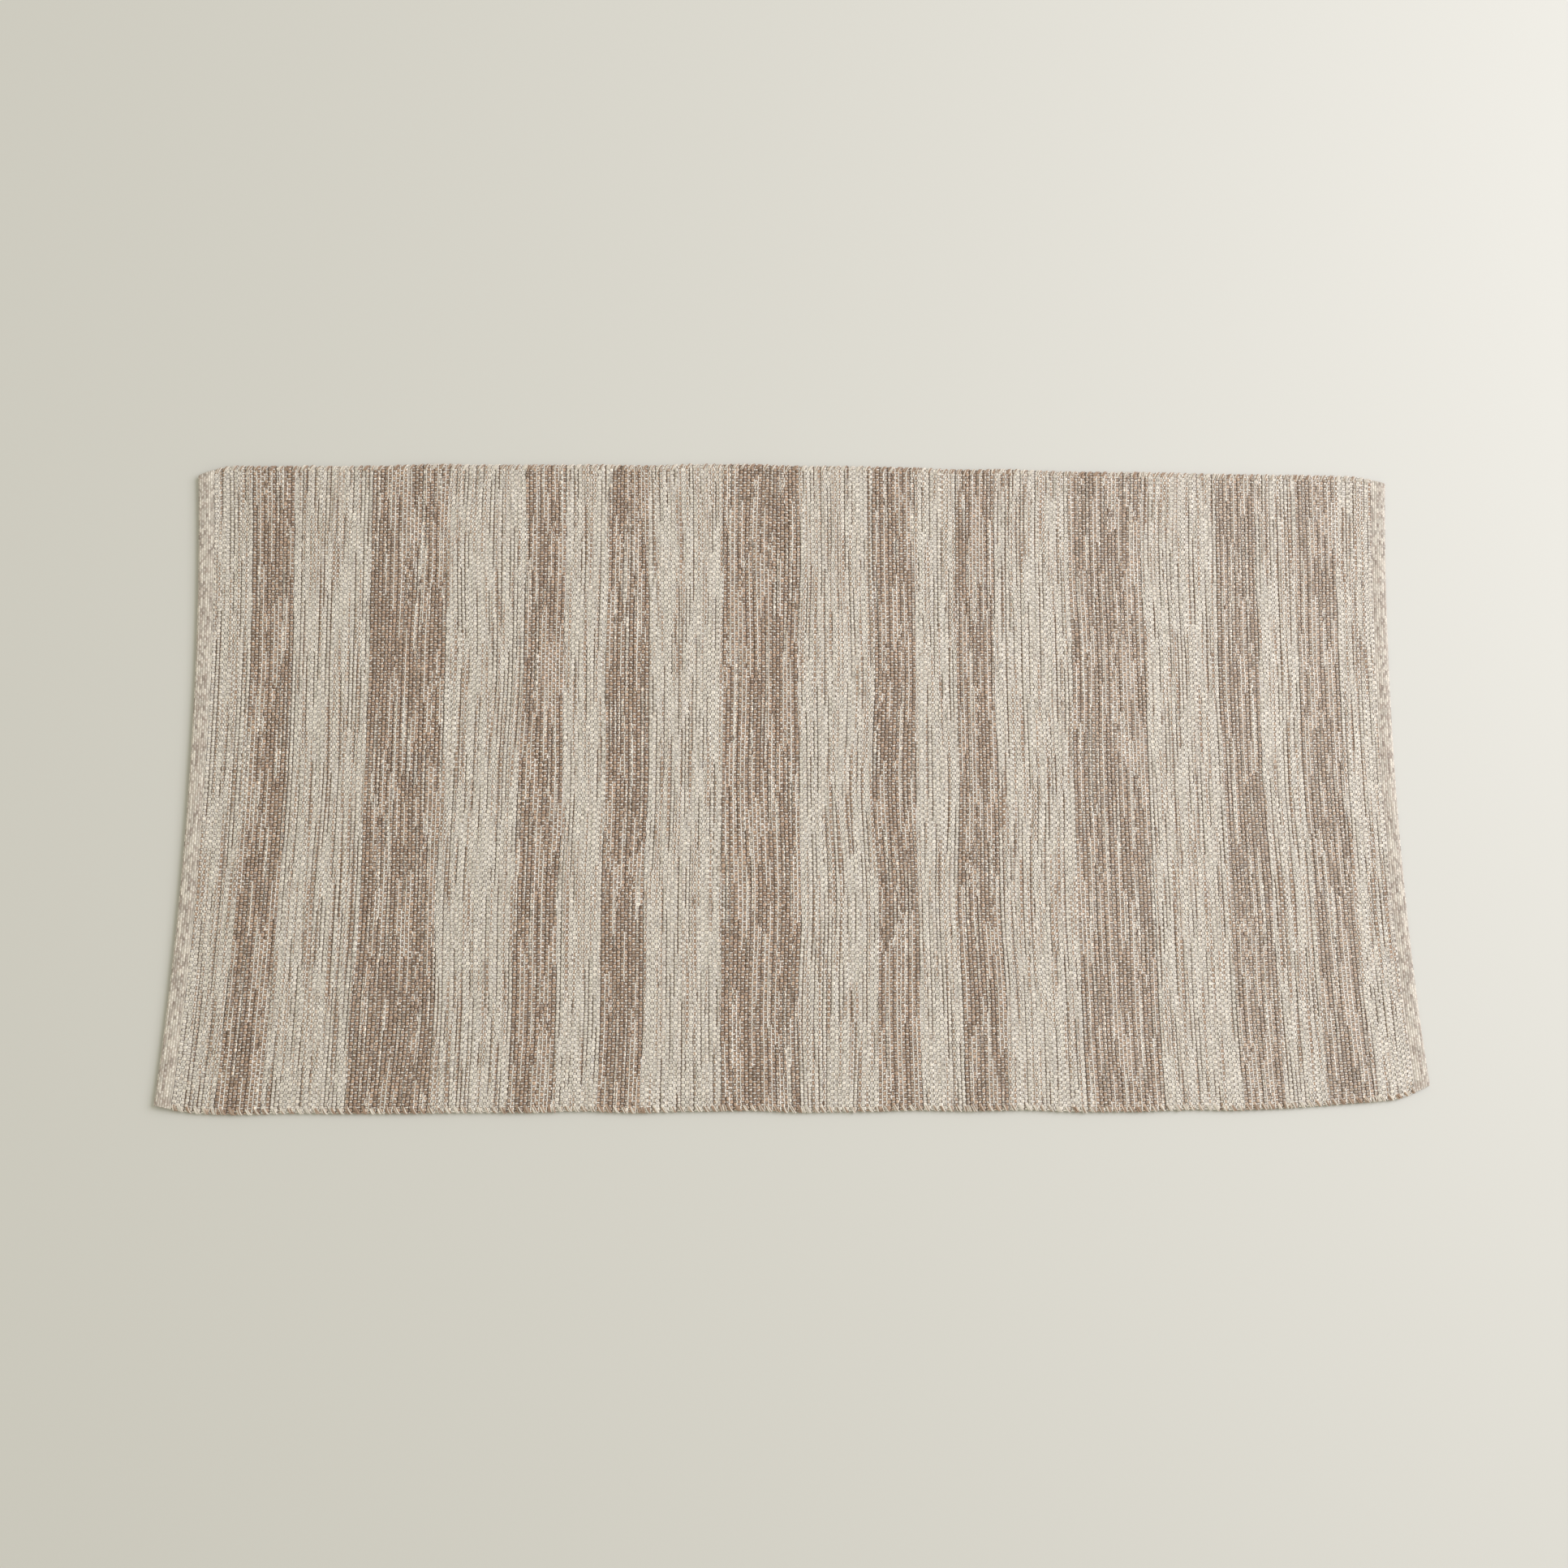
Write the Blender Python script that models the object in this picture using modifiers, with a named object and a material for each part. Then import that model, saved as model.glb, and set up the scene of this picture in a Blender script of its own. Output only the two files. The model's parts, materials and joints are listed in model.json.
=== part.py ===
"""Flatwoven cotton bath mat with stripes across it, hemmed at both ends.

Metres, +Z up. The origin is the middle of the underside, X runs along the mat
and Y runs across it. The mat lies on z = 0.

Weft yarns of two colours cross the mat in bands. Each band is a flat sleeve,
because its wefts pass over and under the warp yarns and turn back round an
edge cord at both selvedges. The warps run the whole length inside the sleeves.
At each end the cloth is folded under itself and sewn down with two threads.

The two end flaps fold up and over the middle, each along a line parallel to Y
that runs between two bands. Their parts hang from an empty on that line.
"""

import math

import bmesh
import bpy
from mathutils import Matrix

# Driving dimensions, in metres
WEFT_PITCH = 0.00356
MAT_WIDTH = 0.616
MAT_THICKNESS = 0.0045
HEM_LENGTH = 0.015
HEM_THICKNESS = 0.0051
CORNER_LENGTH = 0.090
CORNER_DRAW_IN = 0.012
GAP = 0.0003

# The stripes from left to right: a colour and the number of wefts in the band
BANDS = (
    ("cream", 10), ("taupe", 11), ("cream", 20), ("taupe", 20),
    ("cream", 20), ("taupe", 11), ("cream", 11), ("taupe", 11),
    ("cream", 20), ("taupe", 20), ("cream", 20), ("taupe", 11),
    ("cream", 11), ("taupe", 11), ("cream", 20), ("taupe", 20),
    ("cream", 20), ("taupe", 11), ("cream", 11), ("taupe", 11),
    ("cream", 10),
)
LEFT_FLAP_BANDS = 4
RIGHT_FLAP_BANDS = 5

# A fold line runs just above the cloth, so that its flap comes down on the middle
FOLD_LINE_HEIGHT = 0.0056

# What the bands, the hems and the seams are made of
SLEEVE_WALL = 0.0012
WARP_SHEET_THICKNESS = 0.0015
EDGE_CORD_RADIUS = 0.00075
SEAM_THREAD_RADIUS = 0.0004
SEAM_GROOVE_WIDTH = 0.0014
SEAM_GROOVE_DEPTH = 0.0011
SEAM_INSET = 0.0025

# Facets
SELVEDGE_SIDES = 12
CORNER_SECTIONS = 4
CORD_SECTIONS = 8
THREAD_SIDES = 8
HEM_NOSE_STEPS = 8

# Derived sizes
WOVEN_LENGTH = WEFT_PITCH * sum(wefts for _, wefts in BANDS)
HALF_LENGTH = WOVEN_LENGTH / 2 + HEM_LENGTH
HALF_WIDTH = MAT_WIDTH / 2
SELVEDGE_RADIUS = MAT_THICKNESS / 2
HEM_RADIUS = HEM_THICKNESS / 2

COLOURS = {
    "cream_yarn": (0.60, 0.55, 0.46),
    "taupe_yarn": (0.41, 0.33, 0.26),
    "warp_yarn": (0.68, 0.63, 0.54),
    "hem_cloth": (0.55, 0.50, 0.42),
    "sewing_thread": (0.64, 0.59, 0.51),
}
YARN_ROUGHNESS = 0.95


def clear_scene():
    for old in list(bpy.data.objects):
        bpy.data.objects.remove(old, do_unlink=True)


def half_width_at(x):
    """Half of the mat's width at x: full over most of its length, drawn in at the ends."""
    into_corner = abs(x) - (HALF_LENGTH - CORNER_LENGTH)
    if into_corner <= 0:
        return HALF_WIDTH
    return HALF_WIDTH - CORNER_DRAW_IN * (into_corner / CORNER_LENGTH) ** 2


def band_edges():
    """The x of each line between two bands, and of both ends of the woven part."""
    edges = [-WOVEN_LENGTH / 2]
    for _, wefts in BANDS:
        edges.append(edges[-1] + wefts * WEFT_PITCH)
    return edges


def sections_of(start, end):
    """How many lengths a piece from start to end has: more where it is drawn in."""
    tapers = max(abs(start), abs(end)) > HALF_LENGTH - CORNER_LENGTH
    return CORNER_SECTIONS if tapers else 1


def new_collection(name):
    collection = bpy.data.collections.new(name)
    bpy.context.scene.collection.children.link(collection)
    return collection


def new_material(name, colour):
    material = bpy.data.materials.new(name)
    material.use_nodes = True
    shader = material.node_tree.nodes["Principled BSDF"]
    shader.inputs["Base Color"].default_value = (*colour, 1.0)
    shader.inputs["Roughness"].default_value = YARN_ROUGHNESS
    shader.inputs["Metallic"].default_value = 0.0
    return material


def fold_axis(name, x, collection):
    """The empty that a flap's parts hang from, on the flap's fold line."""
    axis = bpy.data.objects.new(name, None)
    axis.location = (x, 0, FOLD_LINE_HEIGHT)
    collection.objects.link(axis)
    return axis


def add_piece(name, data, place, material, body, collection):
    """An object at a place in the mat, hung from its body's fold line if it has one."""
    piece = bpy.data.objects.new(name, data)
    piece.data.materials.append(material)
    collection.objects.link(piece)
    piece.parent = body
    piece.location = place
    if body:
        piece.matrix_parent_inverse = Matrix.Translation(-body.location)
    return piece


def mesh_of(shape, name):
    mesh = bpy.data.meshes.new(name)
    shape.to_mesh(mesh)
    shape.free()
    return mesh


def add_wall(piece, thickness, offset):
    wall = piece.modifiers.new("wall", "SOLIDIFY")
    wall.thickness = thickness
    wall.offset = offset
    wall.use_even_offset = True


def weft_band(name, start, end, material, body, collection):
    """One stripe: a flat sleeve of wefts, open along X for the warps to pass through."""
    middle = (start + end) / 2
    facet = math.pi / SELVEDGE_SIDES
    radius = SELVEDGE_RADIUS / math.cos(facet)
    shape = bmesh.new()
    bmesh.ops.create_cone(
        shape, cap_ends=False, segments=SELVEDGE_SIDES, radius1=radius, radius2=radius,
        depth=end - start - GAP, matrix=Matrix.Rotation(facet, 4, "Z"),
    )
    lengthwise = [e for e in shape.edges if abs(e.verts[0].co.z - e.verts[1].co.z) > GAP]
    cuts = sections_of(start, end) - 1
    if cuts:
        bmesh.ops.subdivide_edges(shape, edges=lengthwise, cuts=cuts)
    for vertex in shape.verts:
        across, up, along = vertex.co
        reach = half_width_at(middle + along) - SELVEDGE_RADIUS
        across += math.copysign(reach, across)
        vertex.co = (along, across, up + SELVEDGE_RADIUS)
    place = (middle, 0, 0)
    band = add_piece(name, mesh_of(shape, name), place, material, body, collection)
    add_wall(band, SLEEVE_WALL, -1)


def warp_sheet(name, start, end, material, body, collection):
    """The warps of one body: a thin sheet of parallel yarns inside its bands."""
    middle = (start + end) / 2
    inset = SELVEDGE_RADIUS + EDGE_CORD_RADIUS + GAP
    shape = bmesh.new()
    bmesh.ops.create_grid(shape, x_segments=CORD_SECTIONS, y_segments=1, size=0.5)
    for vertex in shape.verts:
        along = vertex.co.x * (end - start - GAP)
        reach = half_width_at(middle + along) - inset
        vertex.co = (along, math.copysign(reach, vertex.co.y), 0)
    place = (middle, 0, SELVEDGE_RADIUS)
    sheet = add_piece(name, mesh_of(shape, name), place, material, body, collection)
    add_wall(sheet, WARP_SHEET_THICKNESS, 0)


def edge_cord(name, start, end, side, material, body, collection):
    """The stout warp that the wefts turn round at one selvedge."""
    middle = (start + end) / 2
    cord = bpy.data.curves.new(name, "CURVE")
    cord.dimensions = "3D"
    cord.bevel_depth = EDGE_CORD_RADIUS
    cord.bevel_resolution = 2
    cord.use_fill_caps = True
    line = cord.splines.new("POLY")
    line.points.add(CORD_SECTIONS)
    for i, point in enumerate(line.points):
        along = (i / CORD_SECTIONS - 0.5) * (end - start - GAP)
        across = side * (half_width_at(middle + along) - SELVEDGE_RADIUS)
        point.co = (along, across, 0, 1)
    place = (middle, 0, SELVEDGE_RADIUS)
    add_piece(name, cord, place, material, body, collection)


def seam_groove(x, top):
    """The four corners of the groove that a seam thread lies in, from +X to -X."""
    floor = top - math.copysign(SEAM_GROOVE_DEPTH, top)
    half = SEAM_GROOVE_WIDTH / 2
    return [(x + half, top), (x + half, floor), (x - half, floor), (x - half, top)]


def hem_outline():
    """The hem's section, from its inner end: over the top, round the fold and back under.

    X is 0 at the fold's outer edge and grows towards the mat, and Z is 0 at mid-height.
    """
    inner_end = HEM_LENGTH - GAP / 2
    over = [(inner_end, HEM_RADIUS), *seam_groove(HEM_LENGTH - SEAM_INSET, HEM_RADIUS)]
    nose = []
    for i in range(HEM_NOSE_STEPS + 1):
        angle = math.pi * (0.5 + i / HEM_NOSE_STEPS)
        nose.append((HEM_RADIUS * (1 + math.cos(angle)), HEM_RADIUS * math.sin(angle)))
    under = [(x, -z) for x, z in reversed(over)]
    slit = [
        (inner_end, -GAP / 2), (HEM_RADIUS, -GAP / 2),
        (HEM_RADIUS, GAP / 2), (inner_end, GAP / 2),
    ]
    return over + nose + under + slit


def hem_fold(name, side, material, body, collection):
    """The end of the cloth, turned under itself: two layers joined by a round fold."""
    hem = bpy.data.curves.new(name, "CURVE")
    hem.dimensions = "2D"
    hem.fill_mode = "BOTH"
    hem.extrude = half_width_at(WOVEN_LENGTH / 2)
    line = hem.splines.new("POLY")
    outline = hem_outline()
    line.points.add(len(outline) - 1)
    for point, (x, z) in zip(line.points, outline):
        point.co = (x, z, 0, 1)
    line.use_cyclic_u = True
    place = (side * HALF_LENGTH, 0, HEM_RADIUS)
    piece = add_piece(name, hem, place, material, body, collection)
    upright = Matrix.Rotation(math.pi / 2, 4, "X")
    turned = Matrix.Rotation(0 if side < 0 else math.pi, 4, "Z")
    piece.rotation_euler = (turned @ upright).to_euler()


def seam_thread(name, x, z, length, material, body, collection):
    """One of a hem seam's two threads, lying in its groove from selvedge to selvedge."""
    shape = bmesh.new()
    bmesh.ops.create_cone(
        shape, cap_ends=True, segments=THREAD_SIDES, radius1=SEAM_THREAD_RADIUS,
        radius2=SEAM_THREAD_RADIUS, depth=length,
        matrix=Matrix.Rotation(math.pi / 2, 4, "X"),
    )
    add_piece(name, mesh_of(shape, name), (x, 0, z), material, body, collection)


def hemmed_end(word, side, materials, body, collection):
    """One end of the mat: its hem and the two threads that sew it down."""
    hem_fold(f"{word}_hem", side, materials["hem_cloth"], body, collection)
    seam_x = side * (WOVEN_LENGTH / 2 + SEAM_INSET)
    seam_depth = SEAM_THREAD_RADIUS + GAP
    length = 2 * half_width_at(WOVEN_LENGTH / 2)
    thread = materials["sewing_thread"]
    top_z = HEM_THICKNESS - seam_depth
    seam_thread(f"{word}_seam_top_thread", seam_x, top_z, length, thread, body, collection)
    seam_thread(f"{word}_seam_under_thread", seam_x, seam_depth, length, thread, body, collection)


def build_mat():
    clear_scene()
    collection = new_collection("bath_mat")
    materials = {name: new_material(name, colour) for name, colour in COLOURS.items()}
    edges = band_edges()
    left_fold = edges[LEFT_FLAP_BANDS]
    right_fold = edges[-1 - RIGHT_FLAP_BANDS]
    left_axis = fold_axis("left_fold_line", left_fold, collection)
    right_axis = fold_axis("right_fold_line", right_fold, collection)
    bodies = (
        ("left", edges[0], left_fold, left_axis),
        ("middle", left_fold, right_fold, None),
        ("right", right_fold, edges[-1], right_axis),
    )
    for word, body_start, body_end, body in bodies:
        warp_sheet(
            f"{word}_warps", body_start, body_end, materials["warp_yarn"], body, collection
        )
        for place, side in (("back", 1), ("front", -1)):
            edge_cord(
                f"{word}_{place}_edge_cord", body_start, body_end, side,
                materials["warp_yarn"], body, collection,
            )
        for number, (colour, _) in enumerate(BANDS, start=1):
            start, end = edges[number - 1], edges[number]
            if body_start <= start < body_end:
                weft_band(
                    f"weft_band_{number:02d}_{colour}", start, end,
                    materials[f"{colour}_yarn"], body, collection,
                )
    hemmed_end("left", -1, materials, left_axis, collection)
    hemmed_end("right", 1, materials, right_axis, collection)


build_mat()
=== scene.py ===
"""Bath mat, the looks: a flatwoven cotton mat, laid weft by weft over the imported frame.

Metres, +X along the mat, +Y across it, +Z up. A weft runs across the mat and a warp runs along it.
Weave coordinates: u counts wefts from the left end and v counts warps from the front edge.
An end is -1 for the left and 1 for the right. A side is -1 for the front edge and 1 for the back edge.
"""

import json
from types import SimpleNamespace

import bpy
import numpy as np
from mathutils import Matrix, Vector

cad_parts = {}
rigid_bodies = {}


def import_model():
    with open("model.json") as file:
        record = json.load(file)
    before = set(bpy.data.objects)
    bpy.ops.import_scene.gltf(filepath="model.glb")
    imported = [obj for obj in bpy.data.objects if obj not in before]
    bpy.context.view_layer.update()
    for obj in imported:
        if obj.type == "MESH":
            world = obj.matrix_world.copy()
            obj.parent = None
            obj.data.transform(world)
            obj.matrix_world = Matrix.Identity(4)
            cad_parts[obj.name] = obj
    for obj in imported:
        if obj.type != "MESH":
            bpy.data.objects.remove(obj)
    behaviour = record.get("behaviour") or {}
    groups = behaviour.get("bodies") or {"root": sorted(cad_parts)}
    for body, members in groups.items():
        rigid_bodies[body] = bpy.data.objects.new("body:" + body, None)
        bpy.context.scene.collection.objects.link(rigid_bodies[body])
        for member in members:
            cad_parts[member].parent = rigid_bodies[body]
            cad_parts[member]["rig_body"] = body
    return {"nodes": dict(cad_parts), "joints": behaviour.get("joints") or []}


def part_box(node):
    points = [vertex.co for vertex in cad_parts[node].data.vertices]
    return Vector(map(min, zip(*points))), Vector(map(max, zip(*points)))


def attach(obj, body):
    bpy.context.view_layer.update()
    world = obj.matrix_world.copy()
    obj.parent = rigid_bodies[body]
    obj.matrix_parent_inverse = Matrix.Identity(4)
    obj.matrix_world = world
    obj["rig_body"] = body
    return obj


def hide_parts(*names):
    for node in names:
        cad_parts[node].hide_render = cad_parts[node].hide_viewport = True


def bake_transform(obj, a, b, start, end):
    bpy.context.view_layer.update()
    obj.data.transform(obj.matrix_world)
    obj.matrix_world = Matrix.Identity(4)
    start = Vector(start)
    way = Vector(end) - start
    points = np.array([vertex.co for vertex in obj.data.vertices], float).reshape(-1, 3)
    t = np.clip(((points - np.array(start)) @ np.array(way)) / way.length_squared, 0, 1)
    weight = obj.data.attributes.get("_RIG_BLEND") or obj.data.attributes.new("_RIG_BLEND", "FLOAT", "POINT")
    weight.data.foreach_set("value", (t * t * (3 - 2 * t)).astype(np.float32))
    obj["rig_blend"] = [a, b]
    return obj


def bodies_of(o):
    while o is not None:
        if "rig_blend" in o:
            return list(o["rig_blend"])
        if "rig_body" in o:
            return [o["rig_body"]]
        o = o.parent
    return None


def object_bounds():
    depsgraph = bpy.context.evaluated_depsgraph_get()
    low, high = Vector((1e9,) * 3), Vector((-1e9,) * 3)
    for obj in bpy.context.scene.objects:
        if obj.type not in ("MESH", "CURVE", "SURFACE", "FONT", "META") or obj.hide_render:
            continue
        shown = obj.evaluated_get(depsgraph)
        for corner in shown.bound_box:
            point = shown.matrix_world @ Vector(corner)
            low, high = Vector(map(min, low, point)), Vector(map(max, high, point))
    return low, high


# Weave of the bands
WEFT_PITCH = 0.00356
WEFTS = 310
WARP_PITCH = 0.002588
WARPS = 236
HALF_WIDTH = WARPS / 2 * WARP_PITCH
CLOTH_THICKNESS = 0.0047
GROOVE_DEPTH = 0.0013
PLY_SWAY = 0.14  # how far plies and grooves stray sideways, in wefts

# Place along a bead, from one warp crossing to the next (0 to 1), and the share of the full height there.
ALONG_BEAD = ((0.0, 0.70), (0.14, 0.26), (0.29, 0.90), (0.5, 1.0), (0.71, 0.90), (0.86, 0.26))
# Place across a weft and the share of the full height there: a groove, then three plies side by side.
ACROSS_TOP = ((0.0, 0.0), (0.20, 0.90), (0.5, 1.0), (0.80, 0.90))
ACROSS_UNDER = ((0.0, 0.0), (0.5, 1.0))
# A strand that lies up in the groove between two wefts: its height share, and how often it does in each
# colour of band (the noise level it starts from, so lower is more often).
STRAND_SHARE = 0.86
STRAND_FROM = {"cream": -0.32, "taupe": 0.08}

# Hems, of finer cloth
HEM_WEFT_PITCH = 0.0021
HEM_THICKNESS = 0.0049
HEM_GROOVE_DEPTH = 0.0006
HEM_SAMPLES = 6  # mesh points for each weft, and for each pair of warps
HEM_SLOT = 0.0002  # half the gap between the two layers
HEM_SLOT_POINTS = 14
HEM_TAPER = 0.45  # share of its thickness that it loses by the folded end
HEM_SNUG = 0.0001  # how far it reaches towards the last band
# The seam: where it runs, and for each end how deep it draws the hem in and how far out that reaches.
SEAM_INSET = 0.0025
SEAM_DENT = {-1: (0.0003, 0.003), 1: (0.0016, 0.008)}
STITCH_PITCH = 0.0036
STITCH_SHARE = 0.86  # share of the pitch where the thread shows
STITCH_RADIUS = 0.0004
STITCH_SINK = 0.0009

# How the mat lies. Its ends fan outward in a shallow curve. It is least a little behind the middle, where
# they fall short of the straight end by the slack.
FAN_CURVE = 0.120
FAN_MIDDLE = 0.09
FAN_SLACK = 0.0036
# Its long edges draw in: everywhere, then for each corner (end, side) a step at the hem, and a draw with the
# length that it takes.
EDGE_DRAW = 0.0015
CORNER_DRAW = {(-1, 1): (0.0095, 0.009, 0.52), (1, 1): (0.0060, 0.003, 0.5),
               (-1, -1): (0.0060, 0.0, 0.1), (1, -1): (0.0105, 0.012, 0.19)}
HEM_STEP_LENGTH = 0.036
# How far wefts and long edges wander, how high the cloth swells off the floor, and the curl of its left end.
PICK_WANDER = 0.0024
EDGE_WANDER = 0.0013
FLOOR_GAP = 0.0002
LIFT = 0.0005
CURL = 0.0022
CURL_REACH = 0.03

# Weft turnings along the two long edges: strands that start inside the edge and loop round the last warp.
TURNING_STRANDS = 4
TURNING_RINGS = 12
TURNING_INSET = 0.0056
TURNING_REACH = 0.0006
TURNING_LEAN = 0.38
TURNING_DIP = 0.0016
TURNING_LOWEST = 0.0009
TURNING_CREAM_SHARE = {"cream": 0.66, "taupe": 0.42}
TUFT_CHANCE = 0.05
TUFT_REACH = 1.9
STRAND_RADIUS = 0.00056

# Stray fibres over the whole mat, kept off the fold lines
FIBRES = 420
FIBRE_CLEARANCE = 0.02
FIBRE_TAUPE_SHARE = 0.12

# How far each side of a fold line the cloth bends, and the bodies right and left of the line.
FOLD_REACH = 0.006
FOLDS = {"left_fold": ("middle", "left_flap"), "right_fold": ("right_flap", "middle")}

# Colours, linear
CREAM = (0.740, 0.670, 0.560)
TAUPE = (0.405, 0.280, 0.194)
WARP_CREAM = (0.95, 0.895, 0.79)
# Painted shade: the dark colour mixed in deep between yarns and at the corners and ends of beads, where shade
# falls.
HOLLOW_SHADE = {"cream": (0.105, 0.068, 0.046), "taupe": (0.080, 0.050, 0.034)}
OCHRE_TINT = (0.42, 0.36, 0.22)
RUST_TINT = (0.42, 0.27, 0.17)
GREY_TINT = (0.36, 0.34, 0.34)
HEM_GREY = (0.43, 0.352, 0.29)
THREAD = (0.62, 0.56, 0.47)
FIBRE = (0.78, 0.73, 0.64)
FLOOR = (0.65, 0.635, 0.57)
FADE_START = 0.45  # share of the length where the colours begin to fade towards the right end

CAMERA_PLACE = (-0.0984, -0.2441, 1.6532)
CAMERA_TURN_DEG = (8.294, -2.796, -0.074)
CAMERA_LENS = 41.1

KEY_PLACE = (3.0, 1.0, 2.72)
KEY_AIM = (0.2, 0.0, 0.0)
KEY_SIZE = 3.0
KEY_POWER = 148
KEY_COLOUR = (0.978, 0.99, 1.15)
WORLD_COLOUR = (1.0, 0.982, 0.845)
WORLD_STRENGTH = 0.60
FLOOR_SIZE = 12

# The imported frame, and the sizes taken from it
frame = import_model()
cad_low, cad_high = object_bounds()
left_hem_low, left_hem_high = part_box("left_hem")
HALF_LENGTH = cad_high.x
HEM_LENGTH = left_hem_high.x - left_hem_low.x
WOVEN_START = (left_hem_high.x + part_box("weft_band_01_cream")[0].x) / 2


# How the cloth lies

def value_noise(a, b, seed):
    """Smooth noise from -1 to 1 over two arrays of coordinates, the same on every run."""
    table = np.random.default_rng(seed).uniform(-1, 1, (512, 512))
    a, b = np.broadcast_arrays(a, b)
    i, j = np.floor(a).astype(int), np.floor(b).astype(int)
    s, t = a - i, b - j
    s, t = s * s * (3 - 2 * s), t * t * (3 - 2 * t)
    near = table[i % 512, j % 512] * (1 - t) + table[i % 512, (j + 1) % 512] * t
    far = table[(i + 1) % 512, j % 512] * (1 - t) + table[(i + 1) % 512, (j + 1) % 512] * t
    return near * (1 - s) + far * s


def yarn_noise(yarn, v, length, seed):
    """Noise along numbered yarns, that changes over length warps and starts elsewhere on each yarn."""
    return value_noise(yarn, v / length + yarn * 0.618, seed)


def lay(x, y):
    """Where a point of the flat cloth lies on the floor."""
    along, across = x / HALF_LENGTH, y / HALF_WIDTH
    fan = FAN_CURVE * (y - FAN_MIDDLE) ** 2 - FAN_SLACK
    wander = PICK_WANDER * value_noise(x / 0.045 + 20, y / 0.11 + 20, 1)
    laid_x = x + along * np.abs(along) * fan + wander * (1 - along ** 4)
    pull = -EDGE_DRAW * np.sign(y)
    for (end, side), (step, draw, length) in CORNER_DRAW.items():
        into_hem = np.clip((end * x - HALF_LENGTH) / HEM_STEP_LENGTH + 1, 0, 1)
        into_corner = np.clip((end * x - HALF_LENGTH) / length + 1, 0, 1)
        pull -= side * (step * into_hem ** 1.5 + draw * into_corner ** 1.3) * (side * y > 0)
    pull += EDGE_WANDER * value_noise(x / 0.05 + 40, np.sign(y) * 3 + 50, 2)
    return laid_x, y + pull * across ** 2


def lift(x, y):
    """How far the cloth stands off the floor, in slight swells, with its left end a little curled up."""
    curl = CURL * np.clip(1 - (x + HALF_LENGTH) / CURL_REACH, 0, 1) ** 2
    return FLOOR_GAP + LIFT * (0.5 + 0.5 * value_noise(x / 0.09 + 60, y / 0.12 + 60, 3)) + curl


# Meshes

def new_mesh_object(name, points, face_groups, attributes, material):
    """A mesh from arrays: points, arrays of faces with the same number of corners, and vector attributes."""
    mesh = bpy.data.meshes.new(name)
    mesh.vertices.add(len(points))
    mesh.vertices.foreach_set("co", np.asarray(points, np.float32).ravel())
    corners = np.concatenate([np.asarray(faces, np.int32).ravel() for faces in face_groups])
    sizes = np.concatenate([np.full(len(faces), faces.shape[1], np.int32) for faces in face_groups])
    mesh.loops.add(len(corners))
    mesh.loops.foreach_set("vertex_index", corners)
    mesh.polygons.add(len(sizes))
    mesh.polygons.foreach_set("loop_start", np.concatenate([[0], np.cumsum(sizes)[:-1]]).astype(np.int32))
    for attribute_name, values in attributes.items():
        attribute = mesh.attributes.new(attribute_name, "FLOAT_VECTOR", "POINT")
        attribute.data.foreach_set("vector", np.asarray(values, np.float32).ravel())
    mesh.update(calc_edges=True)
    mesh.validate()
    mesh.shade_smooth()
    mesh.materials.append(material)
    thing = bpy.data.objects.new(name, mesh)
    bpy.context.scene.collection.objects.link(thing)
    return thing


def grid_faces(rows, columns, first=0, flip=False):
    """Quads over a grid of points stored row by row."""
    r, c = np.meshgrid(np.arange(rows - 1), np.arange(columns - 1), indexing="ij")
    low = (first + r * columns + c).ravel()
    quads = np.stack([low, low + 1, low + columns + 1, low + columns], axis=1)
    return quads[:, ::-1] if flip else quads


def tube_faces(count, rings, sides):
    """The quads round closed tubes, and their end caps, for points stored tube by tube and ring by ring."""
    index = np.arange(count * rings * sides).reshape(count, rings, sides)
    turned = np.roll(index, -1, axis=2)
    quads = np.stack([index[:, :-1], index[:, 1:], turned[:, 1:], turned[:, :-1]], axis=-1).reshape(-1, 4)
    caps = np.concatenate([index[:, 0], index[:, -1, ::-1]])
    return quads, caps


def tube_points(paths, radii, sides, reference):
    """The points of tubes along paths (tube, ring, xyz), with a radius at each ring."""
    ahead = np.gradient(paths, axis=1)
    ahead /= np.linalg.norm(ahead, axis=2, keepdims=True) + 1e-12
    sideways = np.cross(ahead, np.asarray(reference, float))
    sideways /= np.linalg.norm(sideways, axis=2, keepdims=True) + 1e-12
    upwards = np.cross(sideways, ahead)
    angle = np.arange(sides) * 2 * np.pi / sides
    ring = (np.cos(angle)[None, None, :, None] * sideways[:, :, None] +
            np.sin(angle)[None, None, :, None] * upwards[:, :, None])
    points = paths[:, :, None] + ring * radii[:, :, None, None]
    return points.reshape(-1, 3)


def per_point(values, rings, sides):
    """One value for each point of a set of tubes, from one value for each tube or each ring."""
    values = np.asarray(values, float)
    values = values[:, None] if values.ndim == 1 else values
    return np.broadcast_to(values[:, :, None], (len(values), rings, sides)).ravel()


def strands(name, paths, radii, shades, sides, reference, material):
    """A piece of many strands. Each point knows its strand's number, its distance along it, and its shade."""
    count, rings = paths.shape[:2]
    along = np.cumsum(np.linalg.norm(np.diff(paths, axis=1), axis=2), axis=1)
    along = np.concatenate([np.zeros((count, 1)), along], axis=1)
    number = np.arange(count) * 1.37
    yarn = np.stack([per_point(values, rings, sides) for values in (number, along, shades)], axis=-1)
    points = tube_points(paths, radii, sides, reference)
    return new_mesh_object(name, points, tube_faces(count, rings, sides), {"yarn": yarn}, material)


# The woven bands

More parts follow.
